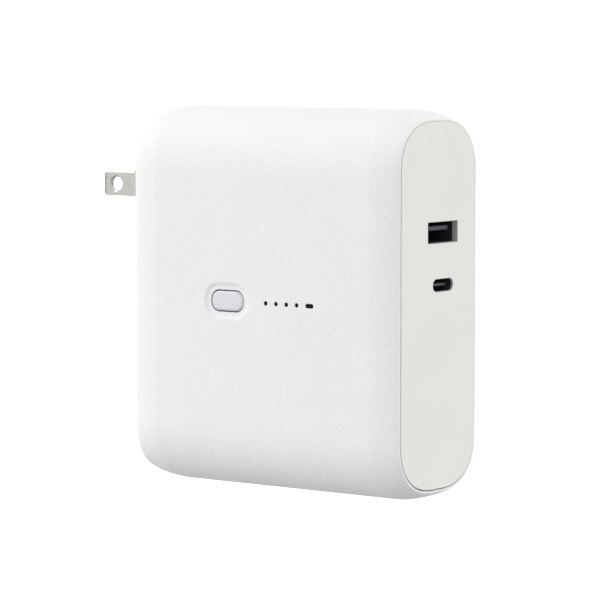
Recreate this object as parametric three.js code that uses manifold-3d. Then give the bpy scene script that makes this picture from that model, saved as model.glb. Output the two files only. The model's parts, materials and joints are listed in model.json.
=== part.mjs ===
// Plug-in USB charger with a built-in battery: a one-piece sleeve closed by two end panels,
// two USB ports on one end and a folding two-blade plug on the other.
// Millimetres. The origin is the centre of the plug end face. +X runs towards the ports,
// -Y is the front with the button and the indicator dots, and +Z is up.

import * as THREE from "three";
import { mergeVertices } from "three/addons/utils/BufferGeometryUtils.js";
import Module from "manifold-3d";

const wasm = await Module();
wasm.setup();

// ---- driving dimensions -------------------------------------------------------------------

const BODY = { length: 87, height: 101, depth: 38.6 };
const CORNER = { radiusY: 19.1, radiusZ: 18.1, power: 2.33, steps: 12 };
const RIM = { power: 1.45, shrink: 1.78, steps: 6 };
const PLUG_RIM = { length: 9.4, insetY: 2.9, insetZ: 2.35 };
const PORT_RIM = { length: 8.5, insetY: 2.0, insetZ: 2.55 };

const WALL = 2.2;
const GAP = 0.3;
const LEDGE = 1.5;
const CAVITY_MARGIN = 9.5;
const PLUG_PANEL = 1.6;
const PORT_PANEL = 1.8;
const CLIP = { length: 5, width: 10, thickness: 1.2, inset: 0.5, sideZ: 19 };

const BUTTON = { x: 33.4, length: 11, width: 5.6, flange: 1, fromWall: 0.4, flangeDepth: 0.8 };
const BUTTON_NUB = { radius: 1, length: 1.5 };
const DISH = { length: 14.6, width: 9.6, depth: 0.6, flatness: 5 };
const LIGHTS = { firstX: 45.95, pitch: 3.34, count: 4, diameter: 1.2, statusX: 60.05, statusLength: 2.7 };
const FLUSH = 0.05;
const LIGHT_BAR = { thickness: 1.4, height: 3.2, margin: 1.5, overlap: 0.5 };
const INDICATOR_BOARD = { x: 46, y: -12.3, length: 38, height: 11, thickness: 1.2 };
const SWITCH = { width: 5.2, depth: 1.4, floor: 0.15, travelRoom: 0.45, plungerRadius: 1.1 };
const LED = { length: 1.6, height: 0.8, depth: 0.7 };

const PORT_Y = 2.2;
const USB_A = { z: 19, width: 13.2, height: 5.5, shellWall: 0.4 };
const USB_A_TONGUE = { width: 11.1, low: 0.35, high: 1.75, recess: 2.2 };
const USB_C = { z: 5.4, width: 9.1, height: 3.3, shellWall: 0.3 };
const USB_C_TONGUE = { width: 6.7, thickness: 0.7, recess: 1.6 };
const PORT_BOARD = { x: 71.5, thickness: 1.6, width: 20, height: 25 };

const BLADE = { spacing: 12.7, height: 6.35, thickness: 1.5, reach: 18.8, corner: 1 };
const BLADE_HOLE = { diameter: 4, fromTip: 4.2 };
const HINGE = { x: 3.6, z: 29, radius: 3.2, halfLength: 9, journal: 1.6, journalLength: 2.8 };
const TANG = { height: 3.6, fromBarrel: 0.2 };
const SWING_ROOM = 0.5;
const HOUSING = { back: 10.4, halfWidth: 13, low: 3, high: 35.5 };
const SCOOP = { radius: 7, width: 9, x: -1.5, rise: 4 };
const CONTACT_SPRING = { thickness: 0.4, width: 2.2, top: 4.4, bend: -4.4, tail: -7.2, reach: 0.8 };
const SPRING_POCKET = { height: 10.8, width: 3.2 };
const DETENT = { size: 6, thickness: 0.3, bumpRadius: 0.8, bumpWidth: 4 };
const SCREW = { shank: 0.8, head: 1.7, headHeight: 1.2, length: 6, recess: 0.6, slot: 0.4 };

const CELL = { radius: 10.5, length: 70, x: 8, lowZ: -35, highZ: -13.2, poleRadius: 3.5, poleHeight: 0.6 };
const CRADLE = { fromX: 14, toX: 72, fromY: 2, toY: 13, fromZ: -42, toZ: -4, clearance: 0.4 };
const NICKEL = { thickness: 0.3, width: 6, linkWidth: 8, fromCell: 0.4 };
const SHEET = { fromX: 9, toX: 76, fromY: -10, toY: 12.6, z: -1.7, thickness: 0.4 };

const POWER_BOARD = { x: 15.5, length: 55, low: -1, high: 45, y: 9, thickness: 1.6 };
const TRANSFORMER = { x: 53, z: 31, size: 22, frontY: -5.5, backY: 6, leg: 5, window: 14 };
const BULK_CAPACITOR = { x: 18, y: 3, lowZ: 26.6, highZ: 37.6, radius: 5, length: 20 };
const CHOKE = { x: 27, z: 13.4, innerRadius: 2.6, outerRadius: 6.5, thickness: 7.6, fromBoard: 0.2 };
const FUSE = { fromX: 19, toX: 29, y: 5.5, z: 2.6, radius: 2.5 };
const FILM_CAPACITOR = { x: 38.25, z: 9.5, length: 5.5, height: 15, depth: 11.7 };
const BRIDGE_RECTIFIER = { x: 45.7, z: 9, length: 3.8, height: 14, depth: 8.7 };
const POWER_SWITCH = { x: 53.5, z: 15.25, length: 7, height: 4.5, depth: 3.7 };
const OUTPUT_INDUCTOR = { x: 54, z: 6.5, size: 8.5, depth: 6.1 };
const OUTPUT_CAPACITOR = { x: 64.5, z: 8, radius: 4, depth: 11.7 };
const HEAT_SPREADER = { x: 44, z: 23, length: 42, height: 30, thickness: 1.2, fromBoard: 1.2 };
const LEAD_RADIUS = 0.7;

// How far a cutting tool runs past the face it cuts.
const PAST = 1;
const SIDES = 24;

// ---- solids -------------------------------------------------------------------------------

function toSolid(geometry) {
  const bare = geometry.clone();
  bare.deleteAttribute("normal");
  bare.deleteAttribute("uv");
  const merged = mergeVertices(bare, 1e-4);
  const vertProperties = new Float32Array(merged.attributes.position.array);
  const triVerts = new Uint32Array(merged.index.array);
  return new wasm.Manifold(new wasm.Mesh({ numProp: 3, vertProperties, triVerts }));
}

function toGeometry(solid) {
  const mesh = solid.getMesh();
  const geometry = new THREE.BufferGeometry();
  geometry.setAttribute("position", new THREE.Float32BufferAttribute(mesh.vertProperties, 3));
  geometry.setIndex(new THREE.BufferAttribute(new Uint32Array(mesh.triVerts), 1));
  geometry.computeVertexNormals();
  return geometry;
}

function cut(base, ...tools) {
  const result = tools.reduce((solid, tool) => solid.subtract(toSolid(tool)), toSolid(base));
  return toGeometry(result);
}

function join(base, ...extras) {
  const result = extras.reduce((solid, extra) => solid.add(toSolid(extra)), toSolid(base));
  return toGeometry(result);
}

// ---- shapes -------------------------------------------------------------------------------

// A box between two opposite corners.
function block(low, high) {
  const size = high.map((value, axis) => value - low[axis]);
  const middle = high.map((value, axis) => (value + low[axis]) / 2);
  return new THREE.BoxGeometry(...size).translate(...middle);
}

// A box centred on a point of the X and Z plane, from one Y to another.
function slab(x, z, length, height, fromY, toY) {
  return block([x - length / 2, fromY, z - height / 2], [x + length / 2, toY, z + height / 2]);
}

function rod(radius, axis, from, to, sides = SIDES) {
  const geometry = new THREE.CylinderGeometry(radius, radius, from.distanceTo(to), sides);
  if (axis === "x") geometry.rotateZ(-Math.PI / 2);
  if (axis === "z") geometry.rotateX(Math.PI / 2);
  const middle = from.clone().add(to).multiplyScalar(0.5);
  return geometry.translate(middle.x, middle.y, middle.z);
}

function at(x, y, z) {
  return new THREE.Vector3(x, y, z);
}

function extrude(shape, depth, curveSegments = 6) {
  return new THREE.ExtrudeGeometry(shape, { depth, bevelEnabled: false, curveSegments });
}

// A shape drawn in Y and Z, extruded from one X to another.
function alongX(shape, fromX, toX, curveSegments) {
  const turn = new THREE.Matrix4().makeBasis(at(0, 1, 0), at(0, 0, 1), at(1, 0, 0));
  return extrude(shape, toX - fromX, curveSegments).applyMatrix4(turn).translate(fromX, 0, 0);
}

// A shape drawn in X and Z, extruded from one Y to another.
function alongY(shape, fromY, toY, curveSegments) {
  const turn = new THREE.Matrix4().makeBasis(at(1, 0, 0), at(0, 0, 1), at(0, -1, 0));
  return extrude(shape, toY - fromY, curveSegments).applyMatrix4(turn).translate(0, toY, 0);
}

function roundedRectangle(u, v, width, height, radius, Kind = THREE.Shape) {
  const outline = new Kind();
  const left = u - width / 2;
  const right = u + width / 2;
  const low = v - height / 2;
  const high = v + height / 2;
  outline.moveTo(left + radius, low);
  outline.lineTo(right - radius, low);
  outline.absarc(right - radius, low + radius, radius, -Math.PI / 2, 0, false);
  outline.lineTo(right, high - radius);
  outline.absarc(right - radius, high - radius, radius, 0, Math.PI / 2, false);
  outline.lineTo(left + radius, high);
  outline.absarc(left + radius, high - radius, radius, Math.PI / 2, Math.PI, false);
  outline.lineTo(left, low + radius);
  outline.absarc(left + radius, low + radius, radius, Math.PI, 1.5 * Math.PI, false);
  return outline;
}

// A little less than half the width, so that the straight ends don't shrink to nothing.
function stadium(u, v, width, height, Kind = THREE.Shape) {
  return roundedRectangle(u, v, width, height, Math.min(width, height) * 0.498, Kind);
}

// The body's section across X: flat sides joined by superellipse corners.
function sectionPoints({ halfHeight, halfDepth, radiusY, radiusZ }) {
  const points = [];
  for (let quadrant = 0; quadrant < 4; quadrant += 1) {
    const signY = quadrant === 0 || quadrant === 3 ? 1 : -1;
    const signZ = quadrant < 2 ? 1 : -1;
    for (let step = 0; step <= CORNER.steps; step += 1) {
      const along = quadrant % 2 === 0 ? step : CORNER.steps - step;
      const angle = (along / CORNER.steps) * (Math.PI / 2);
      const y = halfDepth - radiusY + radiusY * Math.cos(angle) ** (2 / CORNER.power);
      const z = halfHeight - radiusZ + radiusZ * Math.sin(angle) ** (2 / CORNER.power);
      points.push(new THREE.Vector2(signY * y, signZ * z));
    }
  }
  return points;
}

// The section pulled in by a rim's inset: inset is 0 on the flat sides and 1 at the end face.
function rimSection(rim, inset) {
  return {
    halfHeight: BODY.height / 2 - rim.insetZ * inset,
    halfDepth: BODY.depth / 2 - rim.insetY * inset,
    radiusY: CORNER.radiusY - rim.insetY * inset * RIM.shrink,
    radiusZ: CORNER.radiusZ - rim.insetZ * inset * RIM.shrink,
  };
}

function shrunk(section, by) {
  return Object.fromEntries(Object.entries(section).map(([name, value]) => [name, value - by]));
}

// The rounded rim at one end, from the flat sides out to the end face.
function rimStations(rim) {
  const stations = [];
  for (let step = 0; step <= RIM.steps; step += 1) {
    const angle = (step / RIM.steps) * (Math.PI / 2);
    const fromEnd = rim.length * (1 - Math.sin(angle) ** (2 / RIM.power));
    const inset = 1 - Math.cos(angle) ** (2 / RIM.power);
    stations.push({ fromEnd, points: sectionPoints(rimSection(rim, inset)) });
  }
  return stations;
}

// The outer form of the sleeve: a cylinder whose rings take the shapes of the stations.
function bodyForm() {
  const plugEnd = rimStations(PLUG_RIM).map(({ fromEnd, points }) => ({ x: fromEnd, points }));
  const portEnd = rimStations(PORT_RIM).map(({ fromEnd, points }) => ({ x: BODY.length - fromEnd, points }));
  const stations = [...plugEnd.reverse(), ...portEnd];
  const around = stations[0].points.length;
  const rings = stations.length - 1;
  const geometry = new THREE.CylinderGeometry(1, 1, rings, around, rings);
  const position = geometry.attributes.position;
  for (let index = 0; index < position.count; index += 1) {
    const [u, v, w] = [position.getX(index), position.getY(index), position.getZ(index)];
    const station = stations[Math.round(v + rings / 2)];
    const turn = Math.atan2(u, w) / (2 * Math.PI);
    const point = station.points[(Math.round(turn * around) + around) % around];
    const reach = Math.hypot(u, w);
    position.setXYZ(index, station.x, point.x * reach, point.y * reach);
  }
  return geometry;
}

// ---- casing -------------------------------------------------------------------------------

const front = -BODY.depth / 2;
const innerFront = front + WALL;
const plugEndSection = rimSection(PLUG_RIM, 1);
const portEndSection = rimSection(PORT_RIM, 1);
const portPanelBack = BODY.length - PORT_PANEL;

function sectionShape(section) {
  return new THREE.Shape(sectionPoints(section));
}

function lightPlaces() {
  return Array.from({ length: LIGHTS.count }, (_, index) => LIGHTS.firstX + index * LIGHTS.pitch);
}

// A hole through the front wall.
function frontHole(x, length, width) {
  return alongY(stadium(x, 0, length, width), front - PAST, innerFront + PAST);
}

// A shallow oval hollow that the button sits in.
function buttonDish() {
  const { length, width, depth, flatness } = DISH;
  const halfThickness = depth * flatness;
  const spread = Math.sqrt(1 - (1 - 1 / flatness) ** 2);
  const bowl = new THREE.SphereGeometry(1, 32, 24);
  bowl.scale(length / 2 / spread, halfThickness, width / 2 / spread);
  return bowl.translate(BUTTON.x, front + depth - halfThickness, 0);
}

function mainSleeve() {
  const cavity = shrunk(rimSection(PORT_RIM, 0), WALL);
  const middle = BODY.length / 2;
  const beyond = BODY.length + PAST;
  const lightRoom = LIGHTS.diameter + 2 * GAP;
  const tools = [
    alongX(sectionShape(cavity), CAVITY_MARGIN, BODY.length - CAVITY_MARGIN),
    alongX(sectionShape(shrunk(plugEndSection, GAP + LEDGE)), -PAST, middle),
    alongX(sectionShape(shrunk(portEndSection, GAP + LEDGE)), middle, beyond),
    alongX(sectionShape(shrunk(plugEndSection, GAP)), -PAST, PLUG_PANEL + GAP),
    alongX(sectionShape(shrunk(portEndSection, GAP)), portPanelBack - GAP, beyond),
    buttonDish(),
    frontHole(BUTTON.x, BUTTON.length + GAP, BUTTON.width + GAP),
    frontHole(LIGHTS.statusX, LIGHTS.statusLength + 2 * GAP, lightRoom),
  ];
  for (const x of lightPlaces()) {
    tools.push(rod(lightRoom / 2, "y", at(x, front - PAST, 0), at(x, innerFront + PAST, 0), 16));
  }
  return cut(bodyForm(), ...tools);
}

// Snap clips behind a panel, one along each long and short edge.
function clips(section, fromX, toX) {
  const { width, thickness, inset, sideZ } = CLIP;
  const throat = shrunk(section, GAP + LEDGE);
  const topZ = throat.halfHeight - inset - thickness / 2;
  const sideY = throat.halfDepth - inset - thickness / 2;
  const middleX = (fromX + toX) / 2;
  const length = Math.abs(toX - fromX);
  const pieces = [];
  for (const sign of [-1, 1]) {
    const top = new THREE.BoxGeometry(length, width / 2, thickness);
    pieces.push(top.translate(middleX, 0, sign * topZ));
    const side = new THREE.BoxGeometry(length, thickness, width);
    pieces.push(side.translate(middleX, sign * sideY, -sideZ));
  }
  return pieces;
}

function portEndPanel() {
  const outline = sectionShape(shrunk(portEndSection, 2 * GAP));
  const corner = 0.5;
  outline.holes.push(roundedRectangle(PORT_Y, USB_A.z, USB_A.width, USB_A.height, corner, THREE.Path));
  outline.holes.push(stadium(PORT_Y, USB_C.z, USB_C.width, USB_C.height, THREE.Path));
  const plate = alongX(outline, portPanelBack, BODY.length);
  return join(plate, ...clips(portEndSection, portPanelBack - CLIP.length, portPanelBack + PORT_PANEL / 2));
}

// ---- folding plug -------------------------------------------------------------------------

const bladeSides = [-BLADE.spacing / 2, BLADE.spacing / 2];
const foldedReach = BLADE.reach + HINGE.x;
const slotLow = HINGE.z - Math.hypot(foldedReach, BLADE.height / 2) - SWING_ROOM;
const slotWidth = BLADE.thickness + 0.8;
const rotorRoom = HINGE.radius + 2 * GAP;
const bayHalf = HINGE.halfLength + GAP;

// A finger hollow at the tips of the folded blades.
function fingerScoop() {
  const { radius, width, x, rise } = SCOOP;
  return rod(radius, "y", at(x, -width / 2, slotLow + rise), at(x, width / 2, slotLow + rise));
}

function plugEndPanel() {
  const outline = sectionShape(shrunk(plugEndSection, 2 * GAP));
  const plate = alongX(outline, 0, PLUG_PANEL);
  const reach = HINGE.radius + SWING_ROOM;
  const beyond = PLUG_PANEL + PAST;
  const window = block([-PAST, -bayHalf, HINGE.z - reach], [beyond, bayHalf, HINGE.z + reach]);
  const slots = bladeSides.map((y) =>
    block([-PAST, y - slotWidth / 2, slotLow], [beyond, y + slotWidth / 2, HINGE.z]),
  );
  const opened = cut(plate, window, ...slots, fingerScoop());
  return join(opened, ...clips(plugEndSection, PLUG_PANEL / 2, PLUG_PANEL + CLIP.length));
}

// The chassis that holds the rotor, with room for the folded blades and their springs.
function plugHousing() {
  const { back, halfWidth, low, high } = HOUSING;
  const frontX = PLUG_PANEL + GAP;
  const base = block([frontX, -halfWidth, low], [back, halfWidth, high]);
  const slotFloor = HINGE.x + BLADE.height / 2 + SWING_ROOM;
  const journalHalf = bayHalf + HINGE.journalLength;
  const journalRoom = HINGE.journal + GAP;
  const axisAt = (y) => at(HINGE.x, y, HINGE.z);
  const tools = [
    rod(rotorRoom, "y", axisAt(-bayHalf), axisAt(bayHalf)),
    block([0, -bayHalf, HINGE.z - rotorRoom], [HINGE.x, bayHalf, HINGE.z + rotorRoom]),
    rod(journalRoom, "y", axisAt(-journalHalf), axisAt(journalHalf)),
    block([0, -journalHalf, HINGE.z - journalRoom], [HINGE.x, journalHalf, HINGE.z + journalRoom]),
    fingerScoop(),
  ];
  for (const y of bladeSides) {
    const { width, height } = SPRING_POCKET;
    tools.push(block([0, y - slotWidth / 2, slotLow], [slotFloor, y + slotWidth / 2, HINGE.z]));
    const pocketLow = [HINGE.x, y - width / 2, HINGE.z - height / 2];
    tools.push(block(pocketLow, [back + PAST, y + width / 2, HINGE.z + height / 2]));
  }
  for (const { y, z } of screwPlaces()) {
    tools.push(rod(SCREW.shank + GAP, "x", at(frontX - PAST, y, z), at(back + PAST, y, z), 12));
  }
  return cut(base, ...tools);
}

function plugRotor() {
  const { x, z, radius, halfLength, journal, journalLength } = HINGE;
  const reach = halfLength + journalLength;
  const barrel = rod(radius, "y", at(x, -halfLength, z), at(x, halfLength, z), 32);
  const pivots = rod(journal, "y", at(x, -reach, z), at(x, reach, z));
  const slots = bladeSides.map((y) => {
    const half = BLADE.thickness / 2 + GAP;
    const tall = TANG.height / 2 + GAP;
    return block([x - 2 * radius, y - half, z - tall], [x + 2 * radius, y + half, z + tall]);
  });
  return cut(join(barrel, pivots), ...slots);
}

// One contact blade: rounded tip, a locking hole and a narrow tang inside the rotor.
function blade() {
  const { height, thickness, reach, corner } = BLADE;
  const half = height / 2;
  const shoulder = HINGE.x - HINGE.radius - GAP;
  const tangEnd = HINGE.x + HINGE.radius - TANG.fromBarrel;
  const tangHalf = TANG.height / 2;
  const outline = new THREE.Shape();
  outline.moveTo(shoulder, -half);
  outline.lineTo(shoulder, -tangHalf);
  outline.lineTo(tangEnd, -tangHalf);
  outline.lineTo(tangEnd, tangHalf);
  outline.lineTo(shoulder, tangHalf);
  outline.lineTo(shoulder, half);
  outline.lineTo(-reach + corner, half);
  outline.absarc(-reach + corner, half - corner, corner, Math.PI / 2, Math.PI, false);
  outline.lineTo(-reach, -half + corner);
  outline.absarc(-reach + corner, -half + corner, corner, Math.PI, 1.5 * Math.PI, false);
  const opening = new THREE.Path();
  opening.absarc(-reach + BLADE_HOLE.fromTip, 0, BLADE_HOLE.diameter / 2, 0, 2 * Math.PI, true);
  outline.holes.push(opening);
  return alongY(outline, -thickness / 2, thickness / 2, 12);
}

// A bent leaf that presses on the end of a blade's tang, with a solder tail.
function contactSpring() {
  const { thickness, width, top, bend, tail, reach } = CONTACT_SPRING;
  const half = width / 2;
  const frontX = HINGE.x + rotorRoom + GAP;
  const backX = HOUSING.back + reach;
  const leaf = block([frontX, -half, bend - thickness / 2], [frontX + thickness, half, top]);
  const shelf = block([frontX, -half, bend - thickness], [backX, half, bend]);
  const pin = block([backX - thickness, -half, tail], [backX, half, bend]);
  return join(leaf, shelf, pin);
}

// A leaf behind the rotor that clicks the plug open and shut.
function detentSpring() {
  const { size, thickness, bumpRadius, bumpWidth } = DETENT;
  const half = size / 2;
  const x = HOUSING.back + GAP;
  const plate = block([x, -half, HINGE.z - half], [x + thickness, half, HINGE.z + half]);
  const bumpX = x + thickness / 3;
  const from = at(bumpX, -bumpWidth / 2, HINGE.z);
  const bump = rod(bumpRadius, "y", from, at(bumpX, bumpWidth / 2, HINGE.z), 12);
  const trimmed = cut(bump, block([0, -half, 0], [x, half, HINGE.z + half]));
  return join(plate, trimmed);
}

function screwPlaces() {
  return [
    { name: "housing_screw_upper", y: 0, z: 34 },
    { name: "housing_screw_lower", y: 9.6, z: 11 },
  ];
}

// A pan-head screw along X with its head at the back and a cross recess.
function screw() {
  const { shank, head, headHeight, length, recess, slot } = SCREW;
  const profile = [
    new THREE.Vector2(0, -length),
    new THREE.Vector2(shank * 0.4, -length + shank / 2),
    new THREE.Vector2(shank, -length + shank * 1.5),
    new THREE.Vector2(shank, 0),
    new THREE.Vector2(head, 0),
    new THREE.Vector2(head, headHeight * 0.5),
    new THREE.Vector2(head * 0.7, headHeight),
    new THREE.Vector2(0, headHeight),
  ];
  const body = new THREE.LatheGeometry(profile, 16).rotateZ(-Math.PI / 2);
  const floor = headHeight - recess;
  const reach = head * 0.6;
  const cross = [
    block([floor, -slot / 2, -reach], [headHeight + PAST, slot / 2, reach]),
    block([floor, -reach, -slot / 2], [headHeight + PAST, reach, slot / 2]),
  ];
  return cut(body, ...cross);
}

// ---- button and indicator -----------------------------------------------------------------

const flangeFront = innerFront + BUTTON.fromWall;
const nubBack = flangeFront + BUTTON_NUB.length;
const chipBack = INDICATOR_BOARD.y - GAP;

function buttonCap() {
  const { x, length, width, flange, flangeDepth } = BUTTON;
  const key = stadium(x, 0, length - GAP, width - GAP);
  const stem = alongY(key, front + FLUSH, flangeFront + flangeDepth / 2);
  const collar = stadium(x, 0, length + 2 * flange, width + 2 * flange);
  const nub = rod(BUTTON_NUB.radius, "y", at(x, flangeFront, 0), at(x, nubBack, 0), 16);
  return join(stem, alongY(collar, flangeFront, flangeFront + flangeDepth), nub);
}

function switchPlunger() {
  const from = at(BUTTON.x, nubBack + GAP, 0);
  const to = at(BUTTON.x, chipBack - SWITCH.floor - SWITCH.travelRoom, 0);
  return rod(SWITCH.plungerRadius, "y", from, to, 16);
}

function switchBody() {
  const { width, depth, floor, plungerRadius } = SWITCH;
  const body = slab(BUTTON.x, 0, width, width, chipBack - depth, chipBack);
  const from = at(BUTTON.x, chipBack - depth - PAST, 0);
  const bore = rod(plungerRadius + GAP, "y", from, at(BUTTON.x, chipBack - floor, 0), 16);
  return cut(body, bore);
}

// One smoked moulding that carries every light to the front wall.
function lightGuide() {
  const { thickness, height, margin, overlap } = LIGHT_BAR;
  const barFront = innerFront + GAP;
  const postBack = barFront + overlap;
  const from = LIGHTS.firstX - margin;
  const to = LIGHTS.statusX + LIGHTS.statusLength / 2 + margin;
  const bar = block([from, barFront, -height / 2], [to, barFront + thickness, height / 2]);
  const posts = lightPlaces().map((x) =>
    rod(LIGHTS.diameter / 2, "y", at(x, front + FLUSH, 0), at(x, postBack, 0), 16),
  );
  const status = stadium(LIGHTS.statusX, 0, LIGHTS.statusLength, LIGHTS.diameter);
  return join(bar, ...posts, alongY(status, front + FLUSH, postBack));
}

function indicatorBoard() {
  const { x, y, length, height, thickness } = INDICATOR_BOARD;
  return alongY(roundedRectangle(x, 0, length, height, 1), y, y + thickness, 3);
}

function ledChip() {
  return slab(0, 0, LED.length, LED.height, chipBack - LED.depth, chipBack);
}

// ---- ports --------------------------------------------------------------------------------

const shellBack = PORT_BOARD.x + PORT_BOARD.thickness + GAP;
const shellFront = portPanelBack - GAP;

function usbAShell() {
  const { z, width, height, shellWall } = USB_A;
  const outline = roundedRectangle(PORT_Y, z, width + shellWall, height + shellWall, 0.6);
  outline.holes.push(roundedRectangle(PORT_Y, z, width - shellWall, height - shellWall, 0.3, THREE.Path));
  return alongX(outline, shellBack, shellFront, 3);
}

function usbAInsulator() {
  const { z, width, height, shellWall } = USB_A;
  const baseDepth = 2.2;
  const halfWidth = (width - shellWall) / 2 - GAP;
  const halfHeight = (height - shellWall) / 2 - GAP;
  const base = block(
    [shellBack, PORT_Y - halfWidth, z - halfHeight],
    [shellBack + baseDepth, PORT_Y + halfWidth, z + halfHeight],
  );
  const { width: across, low, high, recess } = USB_A_TONGUE;
  const tongue = block(
    [shellBack, PORT_Y - across / 2, z + low],
    [BODY.length - recess, PORT_Y + across / 2, z + high],
  );
  return join(base, tongue);
}

function usbCShell() {
  const { z, width, height, shellWall } = USB_C;
  const outline = stadium(PORT_Y, z, width + shellWall, height + shellWall);
  outline.holes.push(stadium(PORT_Y, z, width - shellWall, height - shellWall, THREE.Path));
  return alongX(outline, shellBack, shellFront, 6);
}

function usbCInsulator() {
  const { z, width, height } = USB_C;
  const baseDepth = 3;
  const base = alongX(stadium(PORT_Y, z, width - 1, height - 1), shellBack, shellBack + baseDepth, 4);
  const { width: across, thickness, recess } = USB_C_TONGUE;
  const tongue = block(
    [shellBack, PORT_Y - across / 2, z - thickness / 2],
    [BODY.length - recess, PORT_Y + across / 2, z + thickness / 2],
  );
  return join(base, tongue);
}

function portBoard() {
  const { x, thickness, width, height } = PORT_BOARD;
  const outline = roundedRectangle(PORT_Y, (USB_A.z + USB_C.z) / 2, width, height, 1);
  return alongX(outline, x, x + thickness, 3);
}

// ---- battery ------------------------------------------------------------------------------

// One cell lying along X, its raised positive end at the plug end.
function batteryCell() {
  const { radius, length, poleRadius, poleHeight } = CELL;
  const shoulder = 0.8;
  const edge = 0.5;
  const profile = [
    new THREE.Vector2(0, 0),
    new THREE.Vector2(poleRadius, 0),
    new THREE.Vector2(poleRadius, poleHeight),
    new THREE.Vector2(radius - shoulder, poleHeight),
    new THREE.Vector2(radius, poleHeight + shoulder),
    new THREE.Vector2(radius, length - edge),
    new THREE.Vector2(radius - edge, length),
    new THREE.Vector2(0, length),
  ];
  return new THREE.LatheGeometry(profile, SIDES).rotateZ(-Math.PI / 2);
}

function cellCradle() {
  const { fromX, toX, fromY, toY, fromZ, toZ, clearance } = CRADLE;
  const base = block([fromX, fromY, fromZ], [toX, toY, toZ]);
  const room = CELL.radius + clearance;
  const troughs = [CELL.lowZ, CELL.highZ].map((z) =>
    rod(room, "x", at(fromX - PAST, 0, z), at(toX + PAST, 0, z)),
  );
  return cut(base, ...troughs);
}

function nickelTab(z) {
  const { thickness, width, fromCell } = NICKEL;
  const x = CELL.x - fromCell;
  const depth = { from: -4, to: 9.5 };
  return block([x - thickness, depth.from, z - width / 2], [x, depth.to, z + width / 2]);
}

function nickelLink() {
  const { thickness, linkWidth, fromCell } = NICKEL;
  const x = CELL.x + CELL.length + fromCell;
  const half = linkWidth / 2;
  return block([x, -half, CELL.lowZ - half], [x + thickness, half, CELL.highZ + half]);
}

function insulationSheet() {
  const { fromX, toX, fromY, toY, z, thickness } = SHEET;
  return block([fromX, fromY, z - thickness / 2], [toX, toY, z + thickness / 2]);
}

// ---- power conversion ---------------------------------------------------------------------

const boardFace = POWER_BOARD.y - GAP;

// A rectangular component standing on the power board.
function boardBlock({ x, z, length, height, depth }) {
  return slab(x, z, length, height, boardFace - depth, boardFace);
}

function powerBoard() {
  const { x, length, low, high, y, thickness } = POWER_BOARD;
  const outline = roundedRectangle(x + length / 2, (low + high) / 2, length, high - low, 2);
  return alongY(outline, y, y + thickness, 3);
}

// A square frame with a centre leg between its two windows.
function transformerCore() {
  const { x, z, size, frontY, backY, leg, window } = TRANSFORMER;
  const windowHeight = (window - leg) / 2;
  const rise = (leg + windowHeight) / 2;
  const windows = [z - rise, z + rise].map((middle) =>
    slab(x, middle, window, windowHeight, frontY - PAST, backY + PAST),
  );
  return cut(slab(x, z, size, size, frontY, backY), ...windows);
}

// The coil round the centre leg.
function transformerWinding() {
  const { x, z, size, frontY, backY, leg, window } = TRANSFORMER;
  const clearance = 0.4;
  const build = 2.7;
  const across = window - 2 * clearance;
  const coil = slab(x, z, across, across, frontY - build, boardFace);
  return cut(coil, slab(x, z, size, leg + 2 * GAP, frontY - GAP, backY + GAP));
}

// A can along X with a crimped groove near its foot.
function bulkCapacitor() {
  const { radius, length } = BULK_CAPACITOR;
  const edge = 0.6;
  const groove = { from: 1.8, middle: 2.3, to: 2.8, depth: 0.4 };
  const profile = [
    new THREE.Vector2(0, 0),
    new THREE.Vector2(radius - edge, 0),
    new THREE.Vector2(radius, edge),
    new THREE.Vector2(radius, groove.from),
    new THREE.Vector2(radius - groove.depth, groove.middle),
    new THREE.Vector2(radius, groove.to),
    new THREE.Vector2(radius, length - edge),
    new THREE.Vector2(radius - edge, length),
    new THREE.Vector2(0, length),
  ];
  return new THREE.LatheGeometry(profile, SIDES).rotateZ(-Math.PI / 2);
}

function chokeRing() {
  const { innerRadius, outerRadius, thickness } = CHOKE;
  const half = thickness / 2;
  const edge = 1;
  const profile = [
    new THREE.Vector2(innerRadius, -half),
    new THREE.Vector2(outerRadius - edge, -half),
    new THREE.Vector2(outerRadius, -half + edge),
    new THREE.Vector2(outerRadius, half - edge),
    new THREE.Vector2(outerRadius - edge, half),
    new THREE.Vector2(innerRadius, half),
    new THREE.Vector2(innerRadius, -half),
  ];
  return new THREE.LatheGeometry(profile, SIDES);
}

function mainsFuse() {
  const { fromX, toX, y, z, radius } = FUSE;
  return rod(radius, "x", at(fromX, y, z), at(toX, y, z), 16);
}

function outputInductor() {
  const { x, z, size, depth } = OUTPUT_INDUCTOR;
  return alongY(roundedRectangle(x, z, size, size, 1), boardFace - depth, boardFace, 3);
}

function outputCapacitor() {
  const { x, z, radius, depth } = OUTPUT_CAPACITOR;
  return rod(radius, "y", at(x, boardFace - depth, z), at(x, boardFace, z));
}

function heatSpreader() {
  const { x, z, length, height, thickness, fromBoard } = HEAT_SPREADER;
  const y = POWER_BOARD.y + POWER_BOARD.thickness + fromBoard;
  return alongY(roundedRectangle(x, z, length, height, 2), y, y + thickness, 3);
}

// ---- leads --------------------------------------------------------------------------------

// A wire with 8 sides, following a smooth curve through its points.
function lead(...points) {
  const extrudePath = new THREE.CatmullRomCurve3(points);
  const section = new THREE.Shape();
  section.absarc(0, 0, LEAD_RADIUS, 0, 2 * Math.PI, false);
  const steps = Math.ceil(extrudePath.getLength() / 2.5);
  return new THREE.ExtrudeGeometry(section, { steps, curveSegments: 4, bevelEnabled: false, extrudePath });
}

// The mains leads start beside the contact springs' pins and end on the power board.
const pinX = HOUSING.back + 1.9;
const pinZ = HINGE.z - 7;

function mainsLeadFront() {
  const start = at(pinX, bladeSides[0], pinZ);
  const down = [at(13.4, -6, 18.5), at(13.6, 0, 12), at(14, 5.5, 9)];
  return lead(start, ...down, at(16.6, 7, 8), at(16.9, 8.4, 8));
}

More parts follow.
